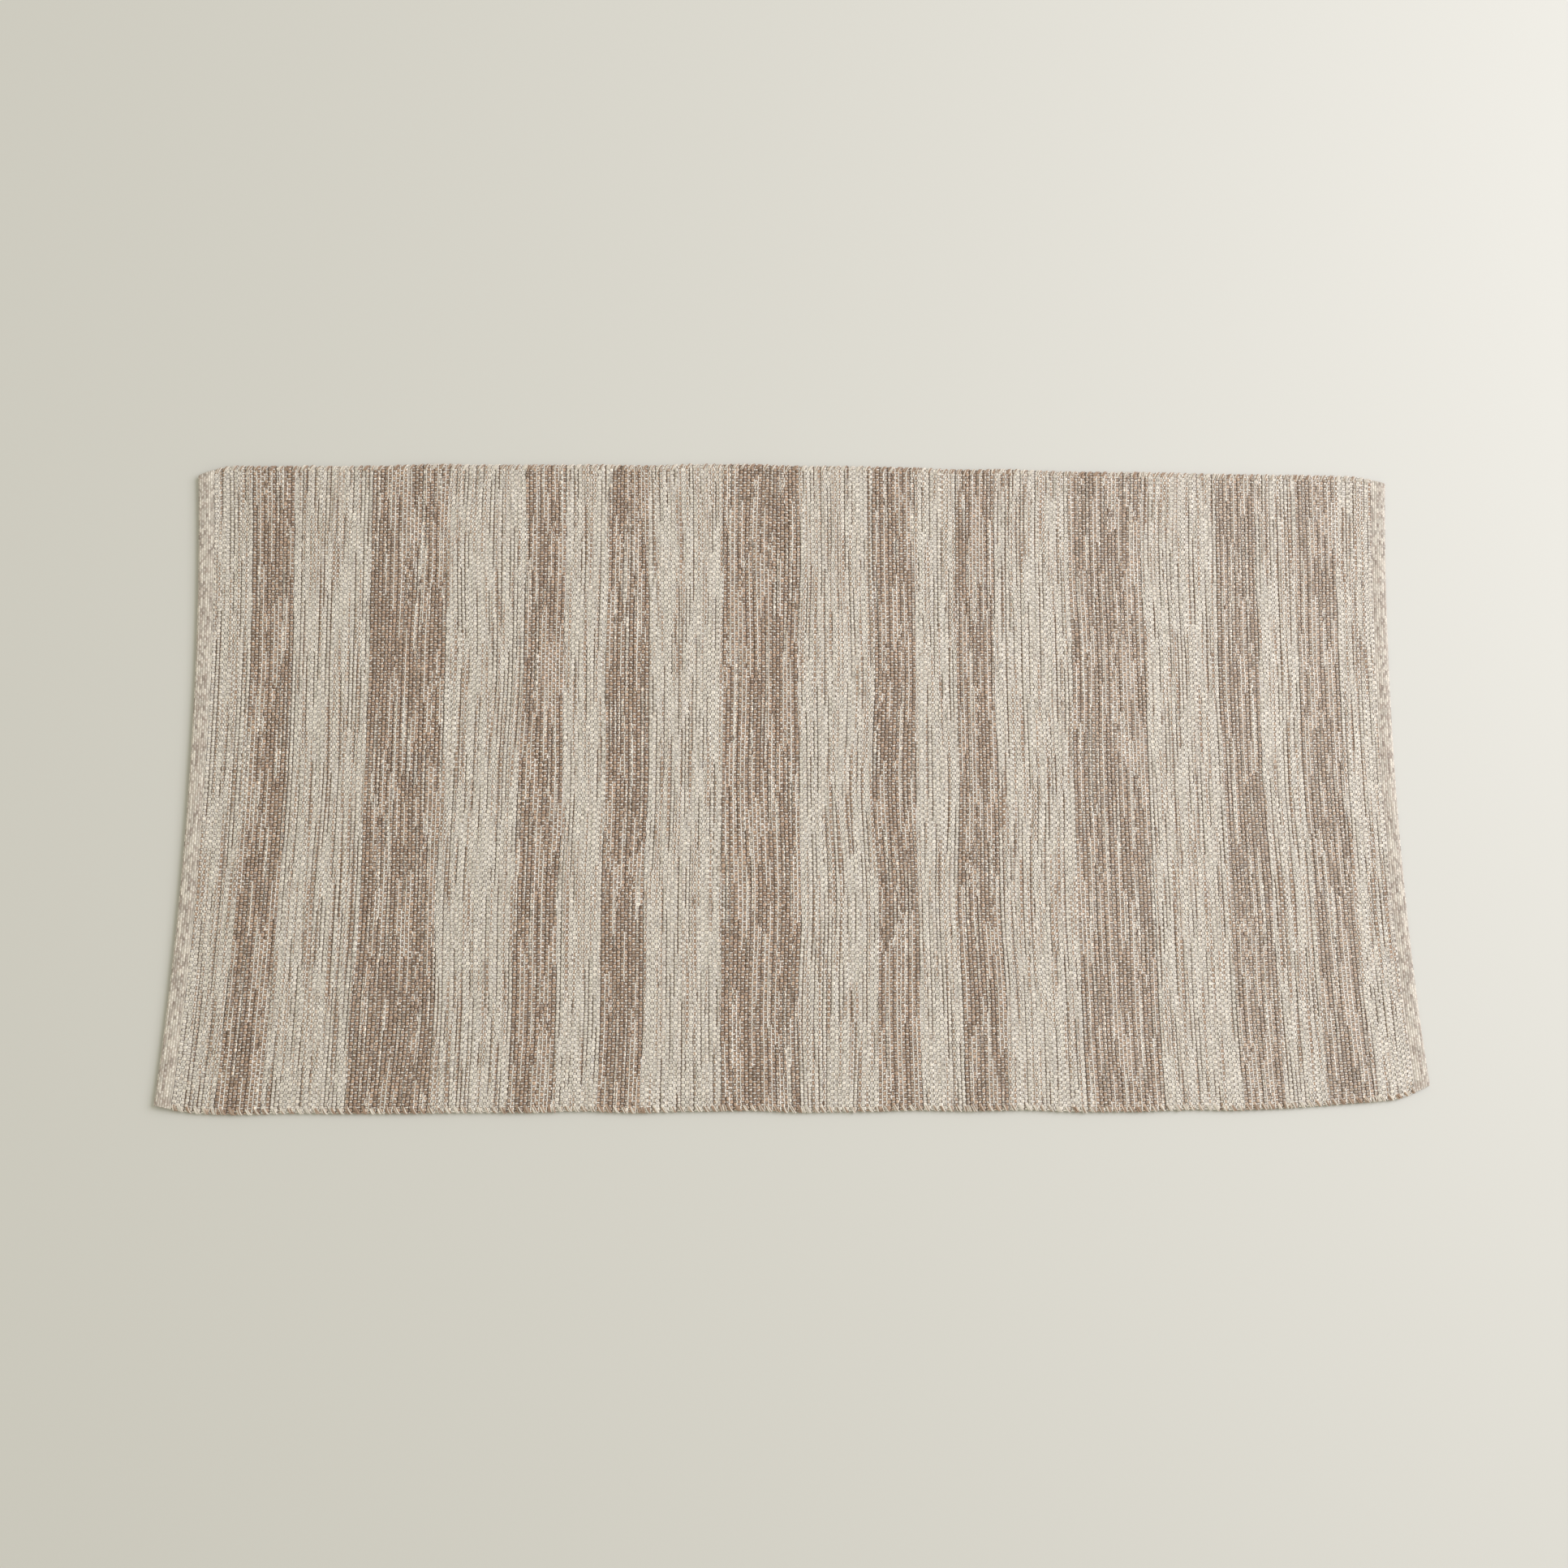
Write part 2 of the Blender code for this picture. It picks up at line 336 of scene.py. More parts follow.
def groove_height(groove, v, face, strand_from):
    """The height share along the groove between two wefts: a row of pits, which a strand fills in places."""
    own = groove + 400 * face
    over_warp = 0.25 + 0.25 * np.cos(2 * np.pi * v)
    level = yarn_noise(own, v, 21, 8) + 0.22 * yarn_noise(own, v, 2.6, 9)
    fill = np.where(groove == 0, 1, np.clip((level - strand_from) / 0.15, 0, 1))
    return STRAND_SHARE * fill + over_warp * (1 - fill)


def woven_face(first, count, across, face, strand_from):
    """The top (face 0) or underside (face 1) of count wefts: rows and columns of u, v and height share."""
    place, share = (np.array(values) for values in zip(*across))
    bead_place, bead_share = (np.array(values) for values in zip(*ALONG_BEAD))
    steps, beats = len(across), len(ALONG_BEAD)
    row = np.arange(beats * WARPS // 2 + 1)[:, None]
    column = np.arange(steps * count + 1)[None, :]
    weft = first + column // steps
    in_groove = column % steps == 0
    even_v = 2 * (row // beats + bead_place[row % beats])
    late = row - beats // 2
    odd_v = 2 * (late // beats + bead_place[late % beats]) + 1
    is_odd = (weft + face) % 2 == 1
    v = np.where(in_groove, (even_v + odd_v) / 2, np.where(is_odd, odd_v, even_v))
    v = np.clip(v, 0, WARPS)
    bead_height = np.where(is_odd, bead_share[late % beats], bead_share[row % beats]) * share[column % steps]
    height = np.where(in_groove, groove_height(weft, v, face, strand_from), bead_height)
    u = np.broadcast_to(weft + place[column % steps], v.shape)
    return u, v, height


def face_points(u, v, height, first, start_x, face):
    """Where the points of one face of the cloth are. The cloth thins a little at the outermost warps."""
    weft, ply = np.floor(u), np.floor(u * 3)
    slub = yarn_noise(weft, v, 13, 4) + 0.5 * yarn_noise(weft, v, 4, 5)
    plump = yarn_noise(ply, v, 5, 6)
    sway = PLY_SWAY * np.where(u == weft, yarn_noise(u, v, 8, 7), 0.3 * plump)
    x = start_x + (u - first + sway) * WEFT_PITCH
    y = (v - WARPS / 2) * WARP_PITCH
    relief = GROOVE_DEPTH * (1 - height * (1 + 0.10 * slub + 0.22 * plump) + 0.15)
    z = CLOTH_THICKNESS - np.clip(relief, 0, 1.5 * GROOVE_DEPTH)
    z = z if face == 0 else CLOTH_THICKNESS - z
    into_edge = np.clip((np.abs(v - WARPS / 2) - WARPS / 2 + 1.6) / 1.6, 0, 1)
    z = CLOTH_THICKNESS / 2 + (z - CLOTH_THICKNESS / 2) * (1 - 0.45 * into_edge ** 2)
    laid_x, laid_y = lay(x, y)
    return np.stack([laid_x, laid_y, z + lift(x, y)], axis=-1)


def rim_faces(top, under):
    """Closes the four sides between a top grid and an underside grid with half as many columns."""
    left = np.stack([top[:-1, 0], top[1:, 0], under[1:, 0], under[:-1, 0]], axis=1)
    right = np.stack([top[1:, -1], top[:-1, -1], under[:-1, -1], under[1:, -1]], axis=1)
    front = np.stack([under[0, :-1], under[0, 1:], top[0, 2::2], top[0, 1::2], top[0, :-2:2]], axis=1)
    back = np.stack([under[-1, 1:], under[-1, :-1], top[-1, :-2:2], top[-1, 1::2], top[-1, 2::2]], axis=1)
    return [np.concatenate([left, right]), np.concatenate([front, back])]


def woven_band(name, first, count, start_x, strand_from, material):
    """One colour band: its wefts and the warps that cross them, as one closed skin."""
    points, coordinates, grids, start = [], [], [], 0
    for face, across in ((0, ACROSS_TOP), (1, ACROSS_UNDER)):
        u, v, height = woven_face(first, count, across, face, strand_from)
        points.append(face_points(u, v, height, first, start_x, face).reshape(-1, 3))
        coordinates.append(np.stack([u, v + face, height], axis=-1).reshape(-1, 3))
        grids.append(start + np.arange(u.size).reshape(u.shape))
        start += u.size
    top, under = grids
    faces = [grid_faces(*top.shape), grid_faces(*under.shape, first=top.size, flip=True)]
    faces += rim_faces(top, under)
    weave = {"weave": np.concatenate(coordinates)}
    return new_mesh_object(name, np.concatenate(points), faces, weave, material)


def turning_path(random, start_x, begin, advance, side, tuft):
    """One strand's path round a long edge, from the top face to the underside.

    It begins that many wefts from start_x, and comes back advance wefts further on.
    """
    t = np.linspace(0, 1, TURNING_RINGS)
    reach = TURNING_REACH * random.uniform(0.45, 1.25) * tuft
    outward = -TURNING_INSET + (TURNING_INSET + reach) * np.sin(np.pi * t)
    lean = TURNING_LEAN * random.uniform(0.5, 1.6) * (outward + TURNING_INSET) / 0.006
    x = start_x + (begin + advance * t + lean) * WEFT_PITCH
    y = side * (HALF_WIDTH + outward)
    flat_y = np.clip(y, -HALF_WIDTH, HALF_WIDTH)
    laid_x, laid_y = lay(x, flat_y)
    arch = CLOTH_THICKNESS * (0.48 + 0.46 * np.cos(np.pi * t))
    dip = TURNING_DIP * (np.exp(-t / 0.06) - np.exp(-(1 - t) / 0.06))
    z = arch - dip + lift(x, flat_y) + random.uniform(0, 0.0003)
    return np.stack([laid_x, laid_y + y - flat_y, np.maximum(z, TURNING_LOWEST)], axis=-1)


def turnings(name, first, count, start_x, cream_share, material):
    """The strands of a band's wefts where they turn back round the outermost warps, along both long edges."""
    random = np.random.default_rng(1000 + first)
    paths, shades = [], []
    for side in (-1, 1):
        for weft in range(first, first + count):
            turns_here = (weft % 2 == 0) == (side > 0)
            advance = 1.25 if turns_here and weft + 1 < first + count else 0.25
            if not turns_here and weft > first:
                continue
            tuft = TUFT_REACH if random.random() < TUFT_CHANCE else 1.0
            for strand in range(TURNING_STRANDS):
                begin = weft + 0.18 + 0.21 * strand + random.uniform(-0.08, 0.08) - first
                paths.append(turning_path(random, start_x, begin, advance, side, tuft))
                shades.append(0.0 if random.random() < cream_share else 1.0)
    thickness = random.uniform(0.75, 1.25, (len(paths), 1))
    swell = 0.75 + 0.25 * np.sin(np.pi * np.linspace(0, 1, TURNING_RINGS))
    radii = STRAND_RADIUS * thickness * swell[None, :]
    return strands(name, np.array(paths), radii, shades, 6, (1, 0, 0), material)


# The hems and what lies on the cloth

def fold_section(s, straight, radius):
    """A strip folded in two: how far out and how high its point at distance s is, and which way it faces."""
    turn = np.clip((s - straight) / radius, 0, np.pi)
    out = np.minimum(s, straight) - np.maximum(s - straight - np.pi * radius, 0) + radius * np.sin(turn)
    return out, radius * np.cos(turn), np.sin(turn), np.cos(turn)


def seam_dent(end, out):
    """How far the seam draws the hem in, by distance from the hem's inner edge."""
    depth, reach = SEAM_DENT[end]
    return depth * np.exp(-(out / reach) ** 2)


def hem_section(v, end):
    """The hem cut across at each warp coordinate v: how far out and how high each point of its outline is.

    The outline runs out along the top, round the fold, back underneath, and then along the slot between the
    two layers. The second result holds the weave coordinates of its points, which are 0 in the slot.
    """
    radius = HEM_THICKNESS / 2
    straight = HEM_LENGTH - radius
    around = 2 * straight + np.pi * radius
    s = np.linspace(0, around, round(HEM_SAMPLES * around / HEM_WEFT_PITCH))[None, :]
    out, rise, face_x, face_z = fold_section(s, straight, radius)
    u = s / HEM_WEFT_PITCH + 0.3
    over = 0.5 + 0.5 * np.cos(np.pi * (v + np.floor(u)))
    height = np.abs(np.sin(np.pi * u)) * (0.55 + 0.45 * over)
    proud = HEM_GROOVE_DEPTH * (height - 1) - seam_dent(end, out) * np.abs(face_z)
    outside = np.stack([out + face_x * proud, rise + face_z * proud], axis=-1)

    slot = np.linspace(2 * straight + np.pi * HEM_SLOT, 0, HEM_SLOT_POINTS)
    slot_out, slot_rise, _, _ = fold_section(slot, straight, HEM_SLOT)
    inside = np.broadcast_to(np.stack([slot_out, slot_rise], axis=-1), (len(v), HEM_SLOT_POINTS, 2))
    section = np.concatenate([outside, inside], axis=1)
    taper = 1 - HEM_TAPER * (section[..., 0] / HEM_LENGTH) ** 2
    section[..., 1] = np.maximum((radius + section[..., 1]) * taper, 0.0)

    weave = np.zeros((*section.shape[:2], 3))
    weave[:, :s.size] = np.stack(np.broadcast_arrays(u, v, height), axis=-1)
    return section, weave


def hem(name, end, material):
    """A hem: finer cloth that runs out from the last band, folds round the end and returns underneath."""
    low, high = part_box(name)
    inner = high.x + HEM_SNUG if end < 0 else low.x - HEM_SNUG
    v = (np.arange(HEM_SAMPLES * WARPS // 2 + 1) * 2 / HEM_SAMPLES)[:, None]
    section, weave = hem_section(v, end)
    x = inner + end * section[..., 0]
    y = np.broadcast_to((v - WARPS / 2) * WARP_PITCH, x.shape)
    laid_x, laid_y = lay(x, y)
    points = np.stack([laid_x, laid_y, section[..., 1] + lift(x, y)], axis=-1)
    faces = tube_faces(1, *x.shape)
    if end > 0:
        faces = [group[:, ::-1] for group in faces]
    return new_mesh_object(name + "_cloth", points.reshape(-1, 3), faces,
                           {"weave": weave.reshape(-1, 3)}, material)


def stitches(name, material):
    """A row of lockstitches: a thread that shows for most of each stitch and dives into the cloth between."""
    low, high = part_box(name)
    middle_x, middle_z = (low.x + high.x) / 2, (low.z + high.z) / 2
    on_top = middle_z > HEM_THICKNESS / 2
    count = int((high.y - low.y) / STITCH_PITCH)
    t = np.linspace(0, 1, 9)
    middle_y = low.y + STITCH_PITCH * (np.arange(count)[:, None] + 0.5)
    y = middle_y + STITCH_PITCH * STITCH_SHARE / 2 * (2 * t - 1)[None, :]
    x = np.full_like(y, middle_x) + 0.00015 * (2 * t - 1)[None, :]
    dive = STITCH_SINK * (1 - np.sin(np.pi * t) ** 0.5)[None, :]
    sunk = dive + seam_dent(np.sign(middle_x), SEAM_INSET)
    z = middle_z - (sunk if on_top else -sunk)
    laid_x, laid_y = lay(x, y)
    paths = np.stack([laid_x, laid_y, np.maximum(z + lift(x, y), STITCH_RADIUS + 0.0001)], axis=-1)
    radii = np.full((count, len(t)), STITCH_RADIUS)
    return strands(name + "_stitches", paths, radii, np.zeros(count), 6, (1, 0, 0), material)


def fibres(name, count, low_x, high_x, material, seed):
    """Stray cotton fibres that stand a little proud of the cloth."""
    random = np.random.default_rng(seed)
    rings = 9
    start_x = random.uniform(low_x, high_x, count)[:, None]
    start_y = random.uniform(-HALF_WIDTH, HALF_WIDTH, count)[:, None] * 0.99
    heading = random.uniform(0, 2 * np.pi, count)[:, None]
    heading = heading + np.cumsum(random.normal(0, 0.35, (count, rings)), axis=1)
    step = random.uniform(0.0003, 0.0009, (count, 1))
    x = start_x + np.cumsum(step * np.cos(heading), axis=1)
    y = np.clip(start_y + np.cumsum(step * np.sin(heading), axis=1), -HALF_WIDTH, HALF_WIDTH)
    arch = np.sin(np.pi * np.linspace(0, 1, rings))[None, :] * random.uniform(0.0001, 0.0007, (count, 1))
    laid_x, laid_y = lay(x, y)
    z = CLOTH_THICKNESS - 0.0004 + arch + lift(x, y)
    radii = random.uniform(0.00010, 0.00022, (count, 1)) * np.ones((1, rings))
    shades = random.random(count) < FIBRE_TAUPE_SHARE
    return strands(name, np.stack([laid_x, laid_y, z], axis=-1), radii, shades, 4, (0, 0, 1), material)


# Materials

class Nodes:
    """Short calls for building one material's node tree."""

    def __init__(self, name):
        self.material = bpy.data.materials.new(name)
        self.material.use_nodes = True
        self.tree = self.material.node_tree
        self.shader = self.tree.nodes["Principled BSDF"]

    def add(self, kind, inputs=(), **settings):
        node = self.tree.nodes.new(kind)
        for setting, value in settings.items():
            setattr(node, setting, value)
        for place, value in dict(inputs).items():
            self.put(node.inputs[place], value)
        return node

    def put(self, socket, value):
        """Links a socket to another, or sets it to a number or a colour."""
        if isinstance(value, bpy.types.NodeSocket):
            self.tree.links.new(value, socket)
        elif hasattr(socket.default_value, "__len__") and len(socket.default_value) == 4:
            socket.default_value = (*value, 1)
        else:
            socket.default_value = value

    def math(self, operation, a, b=0.0):
        return self.add("ShaderNodeMath", {0: a, 1: b}, operation=operation).outputs[0]

    def plus(self, a, b):
        return self.math("ADD", a, b)

    def minus(self, a, b):
        return self.math("SUBTRACT", a, b)

    def times(self, a, b):
        return self.math("MULTIPLY", a, b)

    def floor(self, a):
        return self.math("FLOOR", a)

    def attribute(self, name):
        """The three numbers of a mesh attribute."""
        vector = self.add("ShaderNodeAttribute", attribute_name=name).outputs["Vector"]
        return self.add("ShaderNodeSeparateXYZ", {0: vector}).outputs

    def combine(self, x, y, z=0.0):
        return self.add("ShaderNodeCombineXYZ", {0: x, 1: y, 2: z}).outputs[0]

    def noise(self, x, y, z=0.0, scale=None, detail=0.0, roughness=0.5):
        """Smooth noise from 0 to 1, with x and y first multiplied by scale."""
        if scale:
            x, y = self.times(x, scale[0]), self.times(y, scale[1])
        inputs = {"Vector": self.combine(x, y, z), "Scale": 1.0, "Detail": detail, "Roughness": roughness}
        return self.add("ShaderNodeTexNoise", inputs, noise_dimensions="3D").outputs[0]

    def wobble(self, along, across, scale, seed, amount):
        """A coordinate shifted to and fro by smooth noise."""
        level = self.noise(along, across, seed, scale=(scale, scale))
        return self.plus(along, self.times(self.minus(level, 0.5), amount))

    def random(self, x, y=0.0, z=0.0):
        """A number from 0 to 1 that differs for each set of whole numbers."""
        return self.add("ShaderNodeTexWhiteNoise", {"Vector": self.combine(x, y, z)},
                        noise_dimensions="3D").outputs["Value"]

    def ramp(self, value, start, end, low=0.0, high=1.0):
        """Value mapped smoothly from start..end to low..high, and held outside."""
        inputs = {"Value": value, "From Min": start, "From Max": end, "To Min": low, "To Max": high}
        return self.add("ShaderNodeMapRange", inputs, interpolation_type="SMOOTHSTEP").outputs["Result"]

    def mix(self, share, a, b):
        """Colour a, with a share of colour b."""
        return self.add("ShaderNodeMix", {0: share, 6: a, 7: b}, data_type="RGBA").outputs[2]

    def shade(self, colour, level, start, end, low, high):
        """Colour times a grey factor, ramped from a level."""
        factor = self.ramp(level, start, end, low, high)
        return self.add("ShaderNodeVectorMath", {0: colour, "Scale": factor}, operation="SCALE").outputs[0]

    def finish(self, colour, height, distance):
        """Matt cotton of this colour, with bumps of this height over a distance in metres."""
        inputs = {"Height": height, "Distance": distance, "Strength": 0.8}
        self.put(self.shader.inputs["Base Color"], colour)
        self.put(self.shader.inputs["Normal"], self.add("ShaderNodeBump", inputs).outputs["Normal"])
        self.shader.inputs["Roughness"].default_value = 0.9
        self.shader.inputs["Specular IOR Level"].default_value = 0.2
        self.shader.inputs["Sheen Weight"].default_value = 0.25
        self.shader.inputs["Sheen Roughness"].default_value = 0.5
        return self.material


def from_crossing(n, turns):
    """How far a place is from the nearest warp that lies over its weft, where 1 is from one to the next."""
    phase = n.math("FRACT", turns)
    return n.math("MINIMUM", phase, n.minus(1.0, phase))


def weave_places(n):
    """Where in the weave a point of the bands is.

    Across is its place across its weft (0 to 1), beside its distance from the weft's middle, bead and ply the
    numbers of its bead and ply, and from_warp its ragged distance from the nearest warp on top.
    """
    u, v, height = n.attribute("weave")
    u = n.wobble(u, v, 0.9, 11.3, 0.26)
    v = n.wobble(v, u, 0.8, 12.3, 0.42)
    weft = n.floor(u)
    across = n.minus(u, weft)
    from_middle = n.minus(across, 0.5)
    rough = n.noise(u, v, 7.0, scale=(2.6, 1.7), detail=1.0)
    tilt = n.times(from_middle, n.ramp(n.random(weft, 4.0), 0.0, 1.0, -0.10, 0.10))
    turns = n.times(n.plus(v, weft), 0.5)
    from_warp = n.plus(from_crossing(n, n.plus(turns, tilt)), n.times(n.minus(rough, 0.5), 0.17))
    own_start = n.times(n.random(weft, 6.0), 50.0)
    sway = n.noise(n.times(weft, 5.31), n.plus(n.times(v, 0.13), own_start))
    ply = n.floor(n.plus(n.times(u, 3.0), n.times(sway, 0.7)))
    return SimpleNamespace(u=u, v=v, height=height, weft=weft, across=across, ply=ply, from_warp=from_warp,
                           beside=n.math("ABSOLUTE", from_middle), bead=n.floor(turns))


def other_share(n, at, other_from, dotted):
    """Where the other colour of yarn shows: in long stretches of single plies that dip under at warps."""
    ply_start = n.times(n.random(at.ply, 7.0), 50.0)
    patch = n.noise(at.u, at.v, 3.3, scale=(0.30, 0.017))
    segment = n.noise(ply_start, n.plus(n.times(at.v, 0.022), ply_start), 9.3, detail=1.5)
    level = n.plus(segment, n.times(n.minus(patch, 0.5), 0.05))
    share = n.ramp(level, other_from - 0.02, other_from + 0.02)
    return n.times(share, n.ramp(at.from_warp, 0.12, 0.24, 1.0 - dotted, 1.0))


def vary_tone(n, at, colour, tone):
    """Beads and plies of different lightness, and ochre clouds over several wefts."""
    for number in (at.weft, at.ply):
        colour = n.shade(colour, n.random(at.bead, number, 1.0), 0.0, 1.0, 1.0 - tone, 1.0 + tone)
    mottle = n.noise(at.u, at.v, 5.3, scale=(2.9, 2.1), detail=2.0)
    colour = n.shade(colour, mottle, 0.3, 0.7, 1.0 - 1.4 * tone, 1.0 + 1.4 * tone)
    cloud = n.noise(at.u, at.v, 8.3, scale=(0.37, 0.21), detail=2.0)
    return n.mix(n.ramp(cloud, 0.35, 0.65, 0.0, 0.18), colour, n.mix(0.5, colour, OCHRE_TINT))


def fleck(n, at, colour):
    """A few rust and grey flecks, each as big as one ply of a bead."""
    rust = n.ramp(n.random(at.bead, at.ply, 2.0), 0.90, 0.96)
    colour = n.mix(n.times(rust, 0.35), colour, RUST_TINT)
    grey = n.ramp(n.random(at.bead, at.ply, 3.0), 0.92, 0.97)
    return n.mix(n.times(grey, 0.35), colour, GREY_TINT)


def woven_material(name, main, other, hollow_shade, other_from, tone, dotted, bead_end_shade, fade):
    """Plain weave of plied cotton, mostly main yarn, with other where the ply noise passes other_from.

    Tone is how much the lightness of beads differs, dotted how far other dips out of sight at each warp,
    hollow_shade the colour of the painted shade deep between yarns, bead_end_shade how dark the painted
    shade at the ends of the beads is, and fade how much other is blended in by the right end.
    """
    n = Nodes(name)
    at = weave_places(n)
    colour = n.mix(other_share(n, at, other_from, dotted), main, other)
    colour = vary_tone(n, at, colour, tone)
    colour = n.mix(n.ramp(at.u, FADE_START * WEFTS, WEFTS, 0.0, fade), colour, other)
    colour = fleck(n, at, colour)

    # Painted shade: the colour darkens at the corners of beads, and where the cloth lies low between yarns
    # and at the ends of beads.
    corner = n.times(n.ramp(at.beside, 0.22, 0.42), n.ramp(at.from_warp, 0.13, 0.35, 1.0, 0.0))
    gap = n.times(n.ramp(at.height, 0.12, 0.92, 0.92, 0.0), n.ramp(at.beside, 0.12, 0.40, bead_end_shade, 1.0))
    colour = n.mix(n.math("MAXIMUM", gap, n.times(corner, 0.95)), colour, hollow_shade)
    dash = n.times(n.ramp(at.from_warp, 0.085, 0.130, 1.0, 0.0), n.ramp(at.beside, 0.22, 0.40, 1.0, 0.0))
    brightness = n.ramp(n.random(at.bead, at.weft, 5.0), 0.0, 0.7, 0.20, 0.95)
    colour = n.mix(n.times(dash, brightness), colour, WARP_CREAM)
    strand = n.times(n.ramp(at.beside, 0.34, 0.40), n.ramp(at.height, 0.55, 0.75))
    strand = n.times(strand, n.minus(1.0, n.times(corner, dotted)))
    colour = n.mix(strand, colour, WARP_CREAM)

    twist = n.math("SINE", n.times(n.plus(n.times(at.v, 1.3), at.across), 12.0))
    fuzz = n.noise(at.u, at.v, scale=(6.0, 3.5), detail=4.0, roughness=0.75)
    colour = n.shade(colour, fuzz, 0.3, 0.7, 0.78, 1.25)
    surface = n.plus(n.times(fuzz, 1.4), n.times(twist, 0.18))
    surface = n.plus(surface, n.times(dash, 0.5))
    return n.finish(colour, surface, 0.00035)


def strand_material(name, first, second):
    """Loose plied yarn: first where its shade is 0 and second where it is 1."""
    n = Nodes(name)
    number, along, shade = n.attribute("yarn")
    colour = n.mix(shade, first, second)
    colour = n.shade(colour, n.random(number, 1.0, 2.0), 0.0, 1.0, 0.82, 1.10)
    place = n.times(along, 900.0)
    flecks = n.noise(number, n.times(place, 0.8), detail=2.0)
    colour = n.shade(colour, flecks, 0.3, 0.7, 0.88, 1.08)
    twist = n.math("SINE", n.times(place, 6.0))
    return n.finish(colour, n.plus(flecks, n.times(twist, 0.3)), 0.0002)


def hem_material():
    """The finer hem cloth: grey-brown and cream wefts, with cream warps that show a little on top."""
    n = Nodes("hem_cloth_weave")
    u, v, height = n.attribute("weave")
    u = n.wobble(u, v, 0.7, 13.3, 0.5)
    v = n.wobble(v, u, 0.6, 14.3, 1.1)
    weft = n.floor(u)
    turns = n.times(n.plus(v, weft), 0.5)
    bead = n.floor(turns)
    patch = n.noise(n.times(weft, 3.7), n.times(v, 0.10), 3.3, detail=2.0)
    cream_share = n.plus(n.times(patch, 0.6), n.times(n.random(bead, weft, 3.0), 0.5))
    colour = n.mix(n.ramp(cream_share, 0.25, 0.70), HEM_GREY, CREAM)
    crossing = n.ramp(from_crossing(n, turns), 0.12, 0.26, 1.0, 0.0)
    crossing = n.times(crossing, n.ramp(n.random(weft, bead, 4.0), 0.0, 1.0, 0.0, 0.45))
    colour = n.mix(crossing, colour, WARP_CREAM)
    colour = n.shade(colour, n.random(weft, bead), 0.0, 1.0, 0.80, 1.10)
    # Painted shade: the colour darkens where the hem cloth lies low between its wefts.
    colour = n.mix(n.ramp(height, 0.0, 0.8, 0.3, 0.0), colour, HOLLOW_SHADE["cream"])
    fuzz = n.noise(u, v, scale=(2.5, 3.0), detail=4.0, roughness=0.75)
    colour = n.shade(colour, fuzz, 0.3, 0.7, 0.82, 1.18)
    return n.finish(colour, fuzz, 0.0004)


def floor_material():
    """Plain pale floor."""
    n = Nodes("floor_plain")
    n.put(n.shader.inputs["Base Color"], FLOOR)
    n.shader.inputs["Roughness"].default_value = 0.6
    n.shader.inputs["Specular IOR Level"].default_value = 0.3
    return n.material


# Stage

def make_floor():
    bpy.ops.mesh.primitive_plane_add(size=FLOOR_SIZE)
    floor = bpy.context.object
    floor.name = "floor"
    floor.data.materials.append(floor_material())


def make_light():
    """Even light from all round, and one big soft key light from the right."""
    world = bpy.data.worlds.new("studio")
    bpy.context.scene.world = world
    world.use_nodes = True
    background = world.node_tree.nodes["Background"]
    background.inputs["Color"].default_value = (*WORLD_COLOUR, 1)
    background.inputs["Strength"].default_value = WORLD_STRENGTH
    data = bpy.data.lights.new("key_light", "AREA")
    data.shape, data.size, data.energy, data.color = "SQUARE", KEY_SIZE, KEY_POWER, KEY_COLOUR
    key = bpy.data.objects.new("key_light", data)
    key.location = KEY_PLACE
    key.rotation_euler = (Vector(KEY_AIM) - Vector(KEY_PLACE)).to_track_quat("-Z", "Y").to_euler()
    bpy.context.scene.collection.objects.link(key)
    bpy.context.scene.view_settings.view_transform = "Standard"


def make_camera():
    data = bpy.data.cameras.new("camera")
    data.lens, data.sensor_width = CAMERA_LENS, 36
    camera = bpy.data.objects.new("camera", data)
    camera.location = CAMERA_PLACE
    camera.rotation_euler = np.radians(CAMERA_TURN_DEG)
    bpy.context.scene.collection.objects.link(camera)
    bpy.context.scene.camera = camera


# The mat

def follow(piece, low_x, high_x, body):
    """Rides on its body, or bends across a fold line where the piece reaches one."""
    for joint in frame["joints"]:
        fold_x = joint["pos_m"][0]
        if min(abs(low_x - fold_x), abs(high_x - fold_x)) < WEFT_PITCH / 2:
            right_body, left_body = FOLDS[joint["name"]]
            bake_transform(piece, right_body, left_body,
                     start=(fold_x + FOLD_REACH, 0, 0), end=(fold_x - FOLD_REACH, 0, 0))
            return
    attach(piece, body)


def body_of(node):
    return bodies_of(frame["nodes"][node])[0]


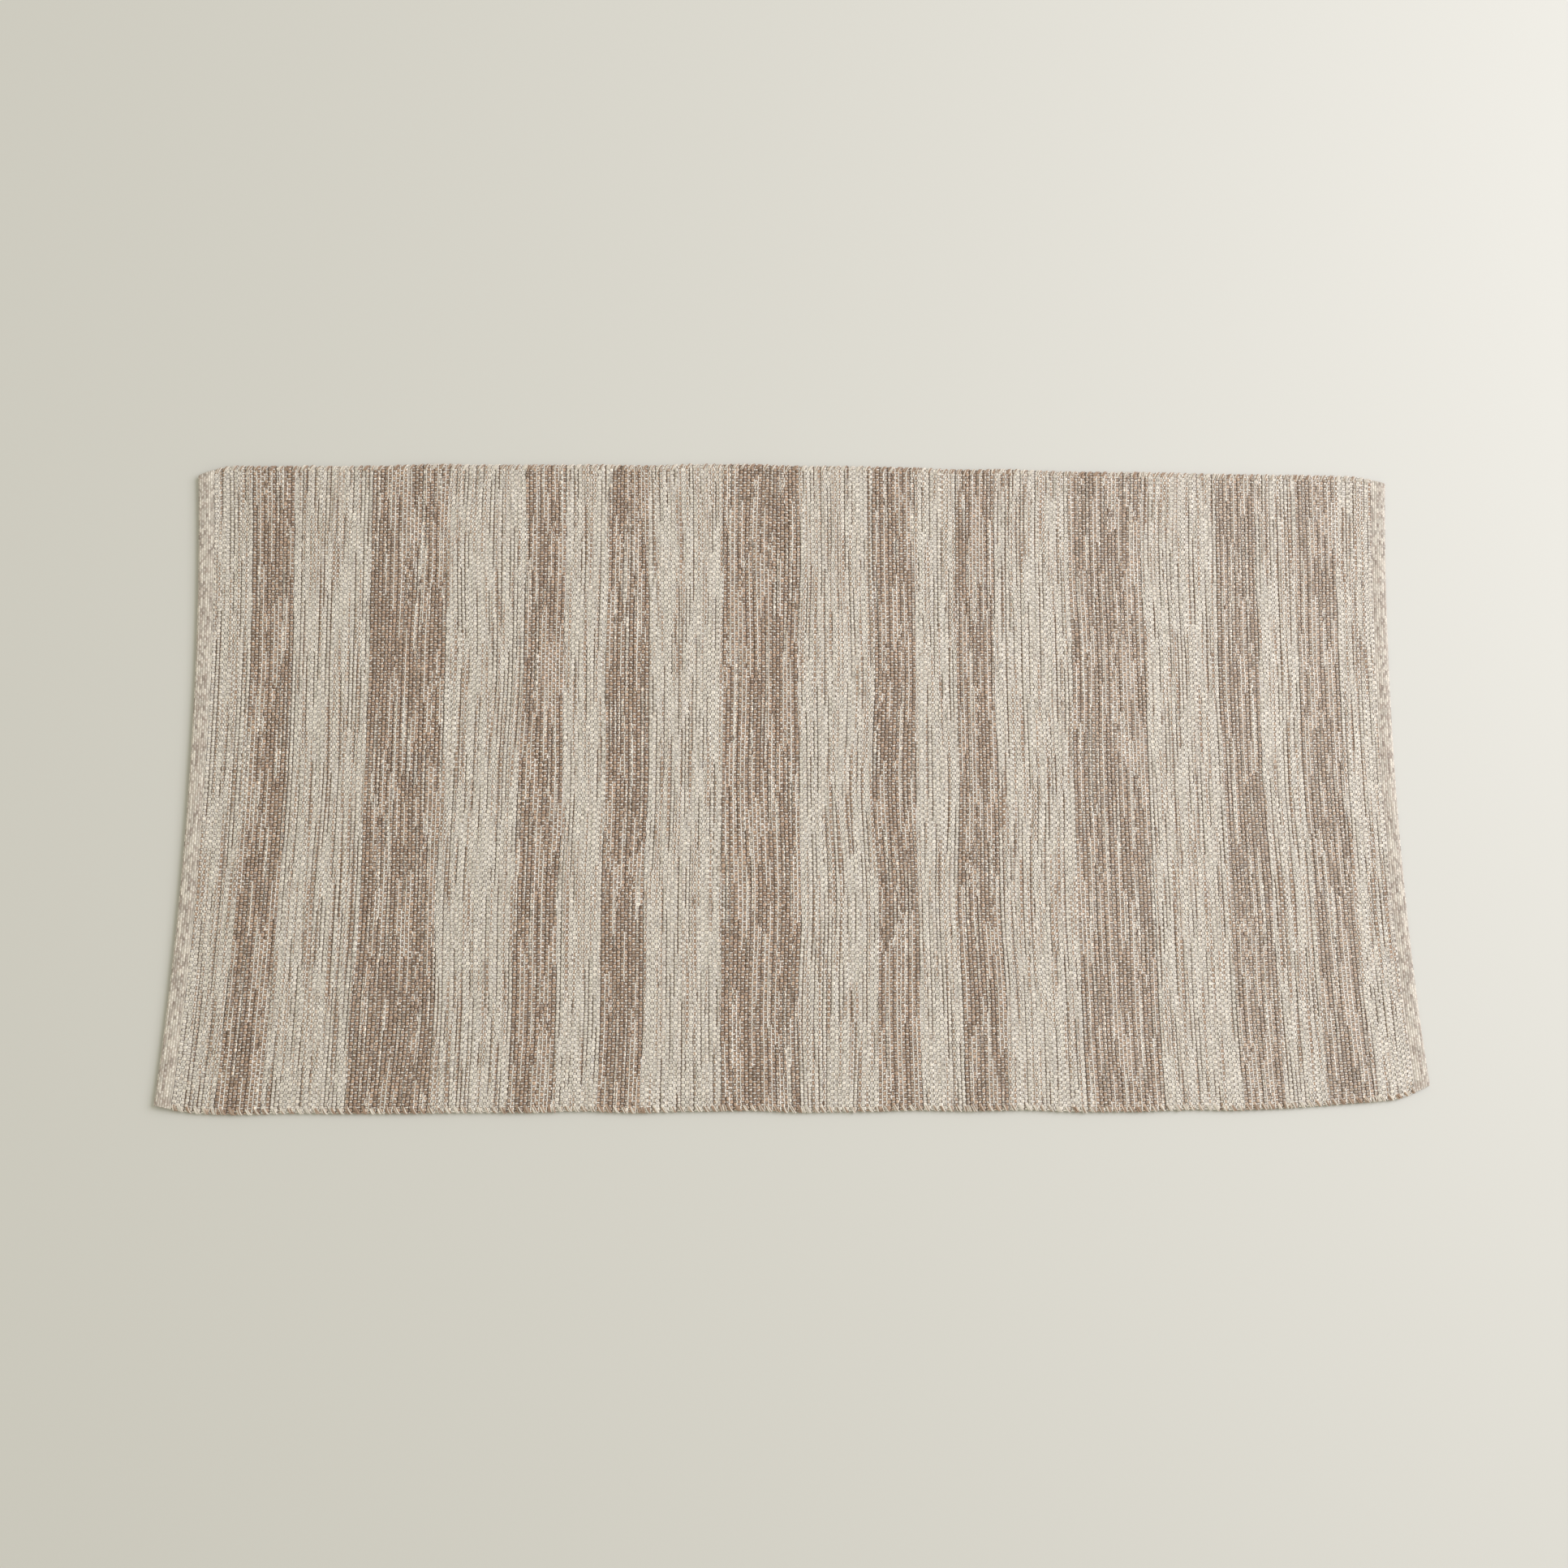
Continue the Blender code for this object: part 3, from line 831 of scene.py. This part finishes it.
def lay_bands():
    """Each colour band, with the warps and edge cords that cross it, and its weft turnings."""
    cloth = {"cream": woven_material("cream_weave", CREAM, TAUPE, HOLLOW_SHADE["cream"], other_from=0.57,
                                     tone=0.11, dotted=0.9, bead_end_shade=0.64, fade=0.0),
             "taupe": woven_material("taupe_weave", TAUPE, CREAM, HOLLOW_SHADE["taupe"], other_from=0.62,
                                     tone=0.21, dotted=0.2, bead_end_shade=0.92, fade=0.22)}
    loose = strand_material("loose_yarn", CREAM, TAUPE)
    first = 0
    for node in sorted(name for name in frame["nodes"] if name.startswith("weft_band_")):
        low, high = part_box(node)
        colour = node.split("_")[-1]
        count = round((high.x - low.x) / WEFT_PITCH)
        start_x = WOVEN_START + first * WEFT_PITCH
        body = body_of(node)
        part = body.split("_")[0]
        skin = woven_band(node + "_weave", first, count, start_x, STRAND_FROM[colour], cloth[colour])
        loops = turnings(node + "_turnings", first, count, start_x, TURNING_CREAM_SHARE[colour], loose)
        for piece in (skin, loops):
            follow(piece, low.x, high.x, body)
        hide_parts(node, part + "_warps")
        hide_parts(part + "_back_edge_cord", part + "_front_edge_cord")
        first += count


def lay_hems():
    """Both hems and the seams that hold them."""
    cloth = hem_material()
    thread = strand_material("sewing_thread", THREAD, CREAM)
    for word, end in (("left", -1), ("right", 1)):
        node = word + "_hem"
        piece = hem(node, end, cloth)
        for face in ("top", "under"):
            seam = f"{word}_seam_{face}_thread"
            row = stitches(seam, thread)
            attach(row, body_of(seam))
            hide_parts(seam)
        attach(piece, body_of(node))
        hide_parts(node)


def lay_fibres():
    """Stray fibres on each body, spread evenly between the hems and the fold lines."""
    loose = strand_material("stray_fibre", FIBRE, TAUPE)
    left_fold, right_fold = sorted(joint["pos_m"][0] for joint in frame["joints"])
    spans = {"left_flap": (WOVEN_START, left_fold - FIBRE_CLEARANCE),
             "middle": (left_fold + FIBRE_CLEARANCE, right_fold - FIBRE_CLEARANCE),
             "right_flap": (right_fold + FIBRE_CLEARANCE, -WOVEN_START)}
    for seed, (body, (low_x, high_x)) in enumerate(spans.items(), start=70):
        count = round(FIBRES * (high_x - low_x) / (2 * HALF_LENGTH))
        piece = fibres(body + "_stray_fibres", count, low_x, high_x, loose, seed)
        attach(piece, body)


lay_bands()
lay_hems()
lay_fibres()
make_floor()
make_light()
make_camera()
